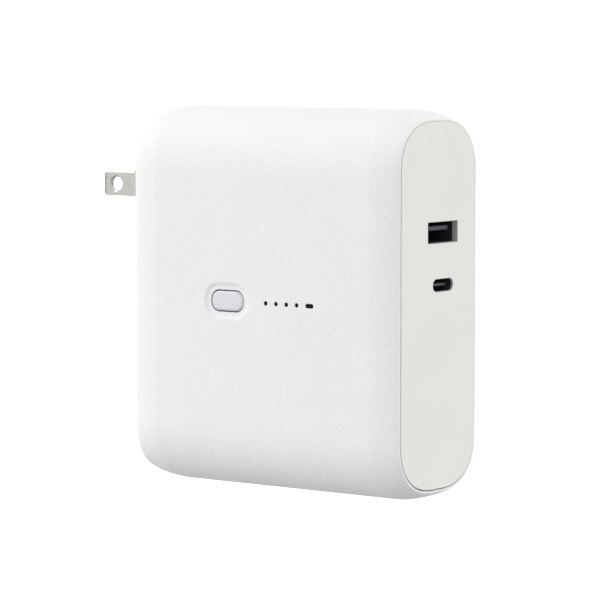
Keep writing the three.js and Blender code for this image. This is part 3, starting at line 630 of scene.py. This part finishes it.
looks = {
    "shell": shell_look(),
    "panel": panel_look(),
    "button": button_look(),
    "smoked": dark_look("window_smoked", (0.001, 0.001, 0.001), 0.4, 0.12),
    "nickel": plated_look("blade_nickel", (0.66, 0.66, 0.612), 0.30, (0.12, 1.0, 1.0)),
    "steel": plated_look("shell_steel", (0.66, 0.66, 0.67), 0.5, (1.0, 1.0, 0.15), 0.006, 0.5),
    "connector_plastic": dark_look("connector_grey", (0.048, 0.046, 0.055), 0.42),
    "black_plastic": dark_look("moulded_black", (0.010, 0.010, 0.011), 0.45),
    "circuit_board": board_look(),
    "cell": plain_detail_look("cell_sleeve", (0.05, 0.21, 0.27), 0.35, 0.6, 0.01),
    "copper": winding_look(),
    "ferrite": plain_detail_look("ferrite_sintered", (0.024, 0.024, 0.026), 0.75, 0.3, 0.04),
    "aluminium": plated_look("sheet_aluminium", (0.5, 0.5, 0.52), 0.35, (1.0, 1.0, 0.1)),
    "pale_sheet": plain_detail_look("insulating_sheet", (0.69, 0.64, 0.48), 0.6, 0.5, 0.02),
    "led": plain_detail_look("led_phosphor", (0.89, 0.85, 0.69), 0.3, 0.2, 0.005),
    "film_box": plain_detail_look("film_box_blue", (0.027, 0.078, 0.27), 0.5, 0.3, 0.01),
    "red_wire": plain_detail_look("wire_red", (0.45, 0.019, 0.013), 0.45, 0.3, 0.01),
    "black_wire": plain_detail_look("wire_black", (0.010, 0.010, 0.011), 0.45, 0.3, 0.01),
}
# Near-black finish of the port throats: painted shade for the dark inside each port.
throat_painted_shade = dark_look("port_throat_painted_shade", (0.022, 0.022, 0.023), 0.4)
gold = plated_look("contact_gold", (0.46, 0.35, 0.19), 0.35)


def dress_cad_nodes():
    """Every CAD node that stays gets its slot's finish."""
    for part in frame["record"]["subparts"]:
        obj = frame["nodes"][part["node"]]
        obj.data.materials.clear()
        obj.data.materials.append(looks[part["material_slot"]])


# ---- casing -------------------------------------------------------------------------------------


def sleeve_stations():
    """(x, rim, inset) along the outside, from the plug end to the port end, finer round the button."""
    plug = [(from_end, PLUG_RIM, inset) for from_end, inset in reversed(rim_steps(PLUG_RIM))]
    port = [(LENGTH - from_end, PORT_RIM, inset) for from_end, inset in rim_steps(PORT_RIM)]
    start, stop = plug[-1][0], port[0][0]
    fine_step, coarse_step, spare = 0.25, 3.0, 1
    fine_from = BUTTON_X - BUTTON_LENGTH / 2 - DISH_MARGIN - spare
    fine_to = BUTTON_X + BUTTON_LENGTH / 2 + DISH_MARGIN + spare
    sides = []
    x = start + coarse_step / 2
    while x < stop - coarse_step / 2:
        sides.append((x, PORT_RIM, 0.0))
        if x < fine_from:
            x += min(coarse_step, max(fine_from - x, fine_step))
        else:
            x += fine_step if x < fine_to else coarse_step
    return plug + sides + port


def dish_depth(x, z):
    """How far the shallow hollow round the button lowers the front face here."""
    away = rounded_distance(x - BUTTON_X, z, BUTTON_LENGTH, BUTTON_WIDTH, BUTTON_RADIUS)
    share = min(max((DISH_MARGIN - away) / DISH_WALL, 0.0), 1.0)
    return DISH_DEPTH * share * share * (3 - 2 * share)


def end_steps(panel_depth):
    """(distance in from the end face, shrink) round the lip, down the seam and into the cavity."""
    steps = []
    for inset, inward in reversed(fillet(LIP_RADIUS, 4)):
        steps.append((LIP_SETBACK + inward, SEAM_OUTER - inset))
    seat = panel_depth + PANEL_CLEARANCE
    return steps + [(seat, SEAM_OUTER), (seat, LEDGE), (CAVITY_MARGIN, LEDGE)]


def sleeve_outside():
    """The rings of the casing's outside, with the button's hollow pressed into the front."""
    on_front = 1e-6
    rings = []
    for x, rim, inset in sleeve_stations():
        ring = []
        for y, z in rim_section(rim, inset):
            if abs(y + HALF_DEPTH) < on_front:
                y += dish_depth(x, z)
            ring.append((x, y, z))
        rings.append(ring)
    return rings


def sleeve_inside():
    """The rings from the port end's lip through the cavity to the plug end's lip."""
    rings = []
    for from_end, shrink in end_steps(PORT_PANEL):
        rings.append(along_x(LENGTH - from_end, rim_section(PORT_RIM, 1.0, shrink)))
    for x in (LENGTH - CAVITY_MARGIN, CAVITY_MARGIN):
        rings.append(along_x(x, rim_section(PORT_RIM, 0.0, WALL)))
    for from_end, shrink in reversed(end_steps(PLUG_PANEL)):
        rings.append(along_x(from_end, rim_section(PLUG_RIM, 1.0, shrink)))
    return rings


def sleeve_cutters():
    """The button's hole and the five windows."""
    through = WALL + SLEEVE_OVERCUT
    grow = 2 * BUTTON_GAP
    button_face = (BUTTON_X, FRONT + DISH_DEPTH, 0.0)
    hole = (BUTTON_LENGTH + grow, BUTTON_WIDTH + grow, BUTTON_RADIUS + BUTTON_GAP)
    cutters = [opening_cutter("button_hole", "-y", button_face, hole, through)]
    width, corner = 2 * LIGHT_RADIUS, LIGHT_RADIUS * ROUND_END
    for node in LIGHT_NODES:
        place = (middle(node).x, FRONT, 0.0)
        cutters.append(opening_cutter(f"{node}_hole", "-y", place, (width, width, corner), through))
    place = (middle("status_led").x, FRONT, 0.0)
    cutters.append(opening_cutter("status_hole", "-y", place, (STATUS_LENGTH, width, corner), through))
    return cutters


def build_sleeve():
    sleeve = loft("sleeve_shell", sleeve_outside() + sleeve_inside(), ring_closed=True)
    carve(sleeve, sleeve_cutters())
    return settle(smooth(sleeve), "case", "shell", ["main_sleeve"])


def build_panel(name, direction, rim, depth, shift=(0.0, 0.0), narrowed=0.0):
    """An end panel with a rounded edge, before its openings are cut.

    shift moves it in its seat, in y and z, and narrowed takes that much off its front and back edges.
    """
    rings = []
    squeeze = 1 - narrowed / (HALF_DEPTH - rim["inset_y"])
    for inset, inward in [(0.0, depth)] + fillet(PANEL_EDGE, 6):
        outline = rim_section(rim, 1.0, SEAM_INNER + inset)
        points = [(y * squeeze + shift[0], z + shift[1]) for y, z in outline]
        x = LENGTH - inward if direction == "+x" else inward
        rings.append(along_x(x, points))
    return loft(name, rings)


def build_port_panel():
    panel = build_panel(
        "port_panel", "+x", PORT_RIM, PORT_PANEL, PORT_PANEL_SHIFT, PORT_PANEL_NARROWED
    )
    through = PORT_PANEL + PANEL_OVERCUT
    face_a, face_c = (LENGTH, USB_A.y, USB_A.z), (LENGTH, USB_C.y, USB_C.z)
    carve(panel, [
        opening_cutter("usb_a_cut", "+x", face_a, (*USB_A_SIZE, USB_A_CORNER), through),
        opening_cutter("usb_c_cut", "+x", face_c, (*USB_C_SIZE, USB_C_CORNER), through),
    ])
    return settle(smooth(panel), "case", "panel", ["port_end_panel"])


def scoop_cutter(slot_low):
    """The finger hollow between the lower ends of the blade slots: a short drum lying along Y."""
    radius, half_width, edge = SCOOP["radius"], SCOOP["half_width"], SCOOP["edge"]
    profile = [(-half_width, radius - edge), (-half_width + edge, radius)]
    profile += [(-along, r) for along, r in reversed(profile)]
    axis = Vector((SCOOP["axis_x"], 0, slot_low + SCOOP["above_slot_end"]))
    return ring_profile("scoop_cut", axis, profile, 72)


def build_plug_panel():
    panel = build_panel("plug_panel", "-x", PLUG_RIM, PLUG_PANEL)
    through = PLUG_PANEL + PANEL_OVERCUT
    swing = math.hypot(BLADE_REACH + HINGE.x, BLADE_HEIGHT / 2) + BLADE_SLOT["room"]
    slot_low = HINGE.z - swing
    slot_height = HINGE.z - slot_low
    bay = (BAY["width"], BAY["height"], BAY["radius"])
    slot = (BLADE_SLOT["width"], slot_height, BLADE_SLOT["radius"])
    edge = PLUG_OPENING_EDGE
    cutters = [opening_cutter("bay_cut", "-x", (0, 0, HINGE.z), bay, through, edge)]
    for side, y in BLADE_Y.items():
        centre = (0, y, (HINGE.z + slot_low) / 2)
        cutters.append(opening_cutter(f"slot_{side}", "-x", centre, slot, through, edge))
    carve(panel, cutters + [scoop_cutter(slot_low)])
    return settle(smooth(panel), "case", "panel", ["plug_end_panel"])


# ---- button and indicator -----------------------------------------------------------------------


def build_button():
    """The key, its flange behind the wall and the post that works the switch."""
    face = (BUTTON_X, FRONT + BUTTON_SET, 0.0)
    size = (BUTTON_LENGTH, BUTTON_WIDTH, BUTTON_RADIUS)
    key = padded_solid("button_key", "-y", face, size, BUTTON_DEPTH, BUTTON_EDGE, 8)
    back = BUTTON_FLANGE
    wider = 2 * back["overhang"]
    size = (BUTTON_LENGTH + wider, BUTTON_WIDTH + wider, back["radius"])
    face = (BUTTON_X, FRONT + WALL + back["from_wall"], 0.0)
    flange = padded_solid("button_flange", "-y", face, size, back["depth"], back["edge"])
    radius, length, chamfer = BUTTON_POST["radius"], BUTTON_POST["length"], BUTTON_POST["chamfer"]
    axis = Vector((BUTTON_X, FRONT + WALL + BUTTON_POST["from_wall"], 0))
    profile = [(0, radius), (length - chamfer, radius), (length, radius - chamfer)]
    post = ring_profile("button_post", axis, profile, 32)
    carve(key, [flange, post], "UNION")
    return settle(smooth(key), "button", "button", ["button_cap"])


def build_light_guide():
    """The smoked bar behind the wall, with a domed post in each window."""
    low, high = node_box("light_guide")
    bar_front = FRONT + WALL + LIGHT_BAR["from_wall"]
    centre = ((low.x + high.x) / 2, bar_front, 0.0)
    size = (high.x - low.x, LIGHT_BAR["height"], LIGHT_BAR["radius"])
    bar = padded_solid("indicator_windows", "-y", centre, size, LIGHT_BAR["depth"], WINDOW_EDGE)
    radius = LIGHT_RADIUS - WINDOW_PLAY
    width, corner = 2 * radius, radius * ROUND_END
    windows = [(node, width) for node in LIGHT_NODES] + [("status_led", STATUS_LENGTH - STATUS_PLAY)]
    face = FRONT + WINDOW_RECESS
    depth = bar_front - face + LIGHT_BAR["overlap"]
    posts = []
    for node, length in windows:
        place = (middle(node).x, face, 0.0)
        size = (length, width, corner)
        posts.append(padded_solid(f"{node}_post", "-y", place, size, depth, WINDOW_EDGE))
    carve(bar, posts, "UNION")
    return settle(smooth(bar), "case", "smoked", ["light_guide"])


# ---- ports --------------------------------------------------------------------------------------


def tube(name, centre, size, wall, front, back, lip):
    """A tube of this (width, height, radius) along X, with softened edges at its front."""
    width, height, radius = size
    soft = lip * 0.4
    levels = [
        (0, back), (0, front - lip), (soft, front),
        (wall - soft, front), (wall, front - lip), (wall, back),
    ]
    rings = []
    for inset, x in levels:
        corner = max(radius - inset, SMALLEST_RADIUS)
        outline = rounded_box_outline(width - 2 * inset, height - 2 * inset, corner)
        rings.append([(x, centre.y + u, centre.z + v) for u, v in outline])
    return loft(name, rings, ring_closed=True)


def build_port(kind, centre, opening):
    """A port's plated shell in its opening and the throat in it, a near-black lining whose colour is
    painted shade for the dark inside the port. Returns the throat's outside.
    """
    shell_node = f"{kind}_shell"
    back = node_box(shell_node)[0].x
    width, height = opening[0] - CASING_PLAY, opening[1] - CASING_PLAY
    radius = CASING_RADIUS[kind]
    front = LENGTH - CASING_RECESS
    size = (width, height, radius)
    casing = tube(f"{kind}_casing", centre, size, CASING_WALL, front, back, CASING_LIP)
    settle(smooth(casing), "case", "steel", [shell_node])
    width, height = width - 2 * CASING_WALL - THROAT_PLAY, height - 2 * CASING_WALL - THROAT_PLAY
    radius = max(radius - CASING_WALL, THROAT_LEAST_RADIUS)
    front = LENGTH - THROAT_DEPTH[kind]
    size = (width, height, radius)
    throat = tube(f"{kind}_throat", centre, size, THROAT_WALL, front, back, THROAT_LIP)
    # The throat's near-black colour is painted shade for the inside of the port.
    settle(smooth(throat), "case", "black_plastic", material=throat_painted_shade)
    return width, height


def build_tongue(kind, centre, inner, tongue, tongue_z, block_depth, block_radius):
    """The insulator: a block that fills the shell's back, and the tongue that stands out of it."""
    low, high = node_box(f"{kind}_insulator")
    play, edge = TONGUE_BLOCK["play"], TONGUE_BLOCK["edge"]
    size = (inner[0] - play, inner[1] - play, block_radius)
    face = (low.x + block_depth, centre.y, centre.z)
    block = padded_solid(f"{kind}_tongue", "+x", face, size, block_depth, edge)
    size = (tongue["width"], tongue["height"], tongue["radius"])
    face = (high.x, centre.y, tongue_z)
    length = high.x - low.x - TONGUE_BLOCK["behind_tongue"]
    blade = padded_solid("tongue", "+x", face, size, length, tongue["edge"], 3)
    carve(block, [blade], "UNION")
    settle(smooth(block), "case", "connector_plastic", [f"{kind}_insulator"])
    return high.x


def build_contact(name, place, contact):
    size = (contact["width"], contact["height"], contact["radius"])
    edge, steps = contact["edge"], contact["edge_steps"]
    strip = padded_solid(name, "+x", place, size, contact["length"], edge, steps)
    settle(smooth(strip), "case", "steel", material=gold)


def build_usb_a():
    """The contacts lie under the tongue."""
    inner = build_port("usb_a", USB_A, USB_A_SIZE)
    top = USB_A.z + USB_A_TONGUE["top"]
    middle_z = top - USB_A_TONGUE["height"] / 2
    block = USB_A_BLOCK
    tip = build_tongue("usb_a", USB_A, inner, USB_A_TONGUE, middle_z, block["depth"], block["radius"])
    x = tip - USB_A_CONTACT["from_tip"]
    z = top - USB_A_TONGUE["height"] + USB_A_CONTACT["sunk"]
    for index, offset in enumerate(USB_A_CONTACT_OFFSETS):
        place = (x, USB_A.y + offset, z)
        build_contact(f"usb_a_contact_{index + 1}", place, USB_A_CONTACT)


def build_usb_c():
    """The contacts lie on the tongue."""
    inner = build_port("usb_c", USB_C, USB_C_SIZE)
    radius = inner[1] * 0.5 - USB_C_BLOCK["round_less"]
    tip = build_tongue("usb_c", USB_C, inner, USB_C_TONGUE, USB_C.z, USB_C_BLOCK["depth"], radius)
    x = tip - USB_C_CONTACT["from_tip"]
    z = USB_C.z + USB_C_CONTACT["above"]
    for index in range(USB_C_CONTACT_COUNT):
        offset = (index - (USB_C_CONTACT_COUNT - 1) / 2) * USB_C_CONTACT_PITCH
        place = (x, USB_C.y + offset, z)
        build_contact(f"usb_c_contact_{index + 1}", place, USB_C_CONTACT)


# ---- folding plug -------------------------------------------------------------------------------


def blade_ring(x, y, half_thickness, half_height):
    radius = min(BLADE_SOFTNESS, half_thickness * 0.98)
    outline = rounded_box_outline(2 * half_thickness, 2 * half_height, radius, 4)
    return [(x, y + u, HINGE.z + v) for u, v in outline]


def blade_tip(y, half, half_height):
    """The rings of a blade's coined end, thinner and with rounded corners."""
    corner, taper, steps = BLADE_TIP["corner"], BLADE_TIP["taper"], BLADE_TIP["steps"]
    tip_half = BLADE_TIP["half_thickness"]
    rings = []
    for i in range(steps + 1):
        along = corner * (1 - math.cos(i / steps * math.pi / 2))
        drop = corner - math.sqrt(max(corner ** 2 - (corner - along) ** 2, 0.0))
        thickness = tip_half + (half - tip_half) * min(along / taper, 1.0)
        rings.append(blade_ring(-BLADE_REACH + along, y, thickness, half_height - drop))
    return rings


def locking_hole(y, half):
    """The cutter for a blade's flared hole."""
    radius, chamfer = BLADE_HOLE["radius"], BLADE_HOLE["chamfer"]
    beyond = 0.6
    profile = [
        (-half - beyond, radius + chamfer + beyond),
        (-half + chamfer, radius),
        (half - chamfer, radius),
        (half + beyond, radius + chamfer + beyond),
    ]
    axis = Vector((-BLADE_REACH + BLADE_HOLE["from_tip"], y, HINGE.z))
    return ring_profile("hole", axis, profile, 64)


def build_blade(side, y):
    """A stamped and plated contact: coined tip, softened edges, locking hole, tang in the rotor."""
    half, half_height = BLADE_THICKNESS / 2, BLADE_HEIGHT / 2
    rings = blade_tip(y, half, half_height)
    shoulder, tang_end = HINGE.x + TANG["shoulder"], HINGE.x + TANG["end"]
    rings.append(blade_ring(shoulder, y, half, half_height))
    rings.append(blade_ring(shoulder, y, half, TANG["half_height"]))
    rings.append(blade_ring(tang_end, y, half, TANG["half_height"]))
    blade = loft(f"blade_{side}_strip", rings)
    carve(blade, [locking_hole(y, half)])
    return settle(smooth(blade, 40), "plug", "nickel", [f"blade_{side}"])


def rotor_profile():
    """(distance along the axis, radius) of the barrel, from one journal's end to the other's."""
    radius, half_length, edge = ROTOR["radius"], ROTOR["half_length"], ROTOR["edge"]
    journal, reach, chamfer = ROTOR["journal"], ROTOR["reach"], ROTOR["chamfer"]
    profile = [(-reach, journal - chamfer), (-reach + chamfer, journal), (-half_length, journal)]
    steps = 4
    for i in range(steps + 1):
        angle = i / steps * math.pi / 2
        along = -half_length + edge * (1 - math.cos(angle))
        profile.append((along, radius - edge * (1 - math.sin(angle))))
    return profile + [(-along, r) for along, r in reversed(profile)]


def build_rotor():
    """The barrel that the blades are fixed in."""
    rotor = ring_profile("plug_barrel", Vector((HINGE.x, 0, HINGE.z)), rotor_profile(), 96)
    radius = ROTOR["radius"]
    size = (BLADE_THICKNESS + TANG_SLOT["play"], TANG_SLOT["height"], TANG_SLOT["radius"])
    cutters = []
    for side, y in BLADE_Y.items():
        centre = (HINGE.x - 2 * radius, y, HINGE.z)
        cutters.append(padded_solid(f"tang_{side}", "-x", centre, size, 4 * radius, TANG_SLOT["edge"]))
    carve(rotor, cutters)
    return settle(smooth(rotor), "plug", "panel", ["plug_rotor"])


# ---- surroundings -------------------------------------------------------------------------------

# The camera, with its distances in metres.
YAW, PITCH = math.radians(36.6), math.radians(4.74)
CAMERA_DISTANCE = 0.8316
LENS_MM = 188.2
SENSOR_MM = 36.0
NEAREST = 0.01
AIM_RIGHT, AIM_UP = -0.0006, -0.0005

# The surround's brightness by height, from -1 underneath to 1 overhead, and dimmed on one side.
WORLD_LEVELS = {"below": 0.39, "horizon": 1.04, "above": 1.02}
LOW_BAND = (-0.85, -0.08)
HIGH_BAND = (0.08, 0.5)
DIM_SIDE = (0.6, -0.8, 0.0)
DIM_BAND = (0.2, 0.95)
DIMMING = 0.125

# Area lights: place and (width, height) in metres, power in watts.
KEY_LIGHT = {"place": (-0.6, -0.35, 0.1), "size": (0.5, 0.5), "power": 1.7}
FAR_LIGHT = {"place": (0.9, 0.6, 0.2), "size": (0.6, 0.6), "power": 1.17}
GLINT_LIGHT = {"place": (-0.5, -0.17, 0.66), "size": (0.14, 0.34), "power": 0.8}

# The stage, in metres, and the strength of the floor's glow.
CARD = {"near": (-0.43, -0.31), "far": (-0.52, -0.10), "low": -0.15, "high": 0.25}
FLOOR_DROP = 0.25
FLOOR_HALF = 6.0
FLOOR_GLOW = 0.35


def place_camera():
    back = Vector((
        math.sin(YAW) * math.cos(PITCH),
        -math.cos(YAW) * math.cos(PITCH),
        math.sin(PITCH),
    ))
    right = Vector((math.cos(YAW), math.sin(YAW), 0.0))
    up = back.cross(right)
    centre = Vector((LENGTH / 2, 0, 0)) * MM
    camera = bpy.data.objects.new("camera", bpy.data.cameras.new("camera"))
    bpy.context.scene.collection.objects.link(camera)
    camera.data.sensor_width = SENSOR_MM
    camera.data.lens = LENS_MM
    camera.data.clip_start = NEAREST
    camera.location = centre + back * CAMERA_DISTANCE
    target = centre + right * AIM_RIGHT + up * AIM_UP
    camera.rotation_mode = "QUATERNION"
    camera.rotation_quaternion = (camera.location - target).to_track_quat("Z", "Y")
    bpy.context.scene.camera = camera


def area_light(name, target, place, size, power):
    """A white rectangular light at place that faces target."""
    light = bpy.data.lights.new(name, "AREA")
    light.shape = "RECTANGLE"
    light.size, light.size_y = size
    light.energy = power
    obj = bpy.data.objects.new(name, light)
    bpy.context.scene.collection.objects.link(obj)
    obj.location = place
    obj.rotation_mode = "QUATERNION"
    obj.rotation_quaternion = (Vector(place) - Vector(target)).to_track_quat("Z", "Y")
    return obj


def smooth_range(tree, value, band, strengths):
    """A soft step: strengths[0] below the band of values, strengths[1] above it."""
    node = tree.nodes.new("ShaderNodeMapRange")
    node.interpolation_type = "SMOOTHSTEP"
    set_range(node, *band, *strengths)
    tree.links.new(value, node.inputs["Value"])
    return node.outputs["Result"]


def product(tree, first, second):
    node = tree.nodes.new("ShaderNodeMath")
    node.operation = "MULTIPLY"
    tree.links.new(first, node.inputs[0])
    tree.links.new(second, node.inputs[1])
    return node.outputs[0]


def light_world():
    """A pale surround: white round the horizon, with its own levels overhead and underneath."""
    world = bpy.data.worlds.new("surround")
    world.use_nodes = True
    bpy.context.scene.world = world
    tree = world.node_tree
    direction = tree.nodes.new("ShaderNodeTexCoord").outputs["Generated"]
    split = tree.nodes.new("ShaderNodeSeparateXYZ")
    tree.links.new(direction, split.inputs["Vector"])
    height = split.outputs["Z"]
    horizon = WORLD_LEVELS["horizon"]
    low = smooth_range(tree, height, LOW_BAND, (WORLD_LEVELS["below"], horizon))
    high = smooth_range(tree, height, HIGH_BAND, (1.0, WORLD_LEVELS["above"] / horizon))
    side = tree.nodes.new("ShaderNodeVectorMath")
    side.operation = "DOT_PRODUCT"
    side.inputs[1].default_value = DIM_SIDE
    tree.links.new(direction, side.inputs[0])
    dimming = smooth_range(tree, side.outputs["Value"], DIM_BAND, (1.0, 1 - DIMMING))
    background = tree.nodes["Background"]
    background.inputs["Color"].default_value = (1.0, 1.0, 1.0, 1.0)
    strength = product(tree, product(tree, low, high), dimming)
    tree.links.new(strength, background.inputs["Strength"])


def stage_quad(name, corners, material):
    """A flat piece of the stage through four corners in metres."""
    quad = add_object(name, [[value / MM for value in corner] for corner in corners], [(0, 1, 2, 3)])
    quad.data.materials.append(material)
    return quad


def build_dark_card():
    """A dark card to the left that only reflections see: it draws the metal's edges."""
    near, far, low, high = (CARD[key] for key in ("near", "far", "low", "high"))
    s = Shader("card_black", (0.02, 0.02, 0.02), 0.9, Specular_IOR_Level=0.0)
    s.vary_color(s.noise(60.0, 2.0), (0.018, 0.018, 0.018))
    corners = [(*near, low), (*far, low), (*far, high), (*near, high)]
    card = stage_quad("dark_card", corners, s.material)
    card.visible_camera = False
    card.visible_diffuse = False
    card.visible_shadow = False


def build_floor():
    """A wide pale floor well below the charger, which hangs from an outlet and stands on nothing."""
    half = FLOOR_HALF
    level = cad_low.z - FLOOR_DROP
    s = Shader("floor_paper", (0.93, 0.93, 0.93), 0.9, Specular_IOR_Level=0.1)
    s.surface.inputs["Emission Color"].default_value = (1.0, 1.0, 1.0, 1.0)
    s.surface.inputs["Emission Strength"].default_value = FLOOR_GLOW
    s.vary_color(s.noise(60.0, 2.0), (0.925, 0.925, 0.925))
    corners = [(-half, -half, level), (half, -half, level), (half, half, level), (-half, half, level)]
    floor = stage_quad("floor", corners, s.material)
    floor.visible_diffuse = False
    floor.visible_glossy = False
    floor.visible_shadow = False


def light_scene():
    """A soft light from each end, and a strip overhead that only reflections see."""
    light_world()
    centre = (LENGTH / 2 * MM, 0.0, 0.0)
    key = area_light("key", centre, **KEY_LIGHT)
    key.visible_glossy = False
    area_light("far_side", centre, **FAR_LIGHT)
    glint = area_light("glint", centre, **GLINT_LIGHT)
    glint.visible_diffuse = False


# ---- assembly -----------------------------------------------------------------------------------

bpy.context.scene.view_settings.view_transform = "Standard"
place_camera()
dress_cad_nodes()
build_sleeve()
build_port_panel()
build_plug_panel()
build_button()
build_light_guide()
build_usb_a()
build_usb_c()
for side, y in BLADE_Y.items():
    build_blade(side, y)
build_rotor()
build_floor()
build_dark_card()
light_scene()
